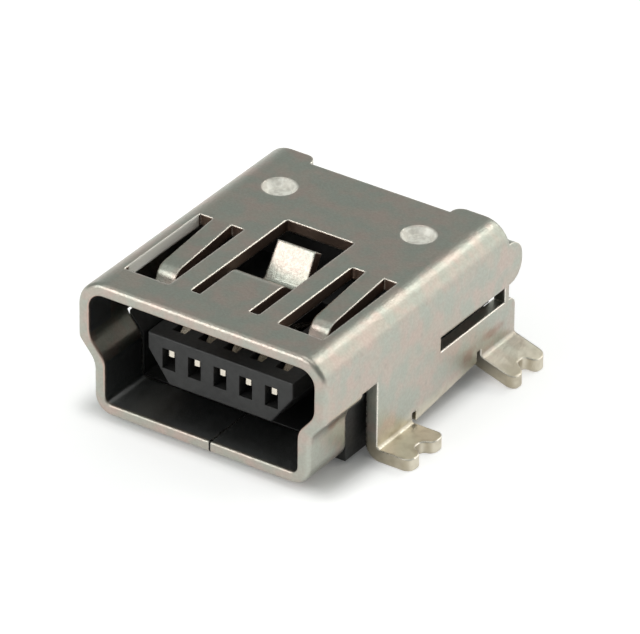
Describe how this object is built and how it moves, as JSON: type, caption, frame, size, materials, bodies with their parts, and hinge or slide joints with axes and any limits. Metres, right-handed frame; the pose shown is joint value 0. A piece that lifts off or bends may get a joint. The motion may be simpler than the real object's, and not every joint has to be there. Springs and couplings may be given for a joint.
{
  "type": "mini usb socket",
  "caption": "Surface-mount socket with a folded metal shell, a stepped mouth around a contact tongue, a latch window in its roof and bent solder feet.",
  "frame": {"origin": "on the board's surface, midway between the mouth's rim and the ends of the solder tails, on the centre plane", "axes": "+Z away from the board, -Y out of the mouth towards the plug, +X to the right for someone who looks into the mouth"},
  "size_m": [0.0098, 0.0094, 0.0042],
  "materials": {
    "plated_sheet": "thin sheet with a dull nickel and tin plating, satin, with bright cut edges",
    "black_moulding": "black heat-resistant moulding, low gloss",
    "contact_strip": "springy bronze strip with a bright pale plating"
  },
  "bodies": {
    "root": {"shell": "plated_sheet", "housing": "black_moulding", "contact_1": "contact_strip", "contact_2": "contact_strip", "contact_3": "contact_strip", "contact_4": "contact_strip", "contact_5": "contact_strip"}
  },
  "joints": []
}
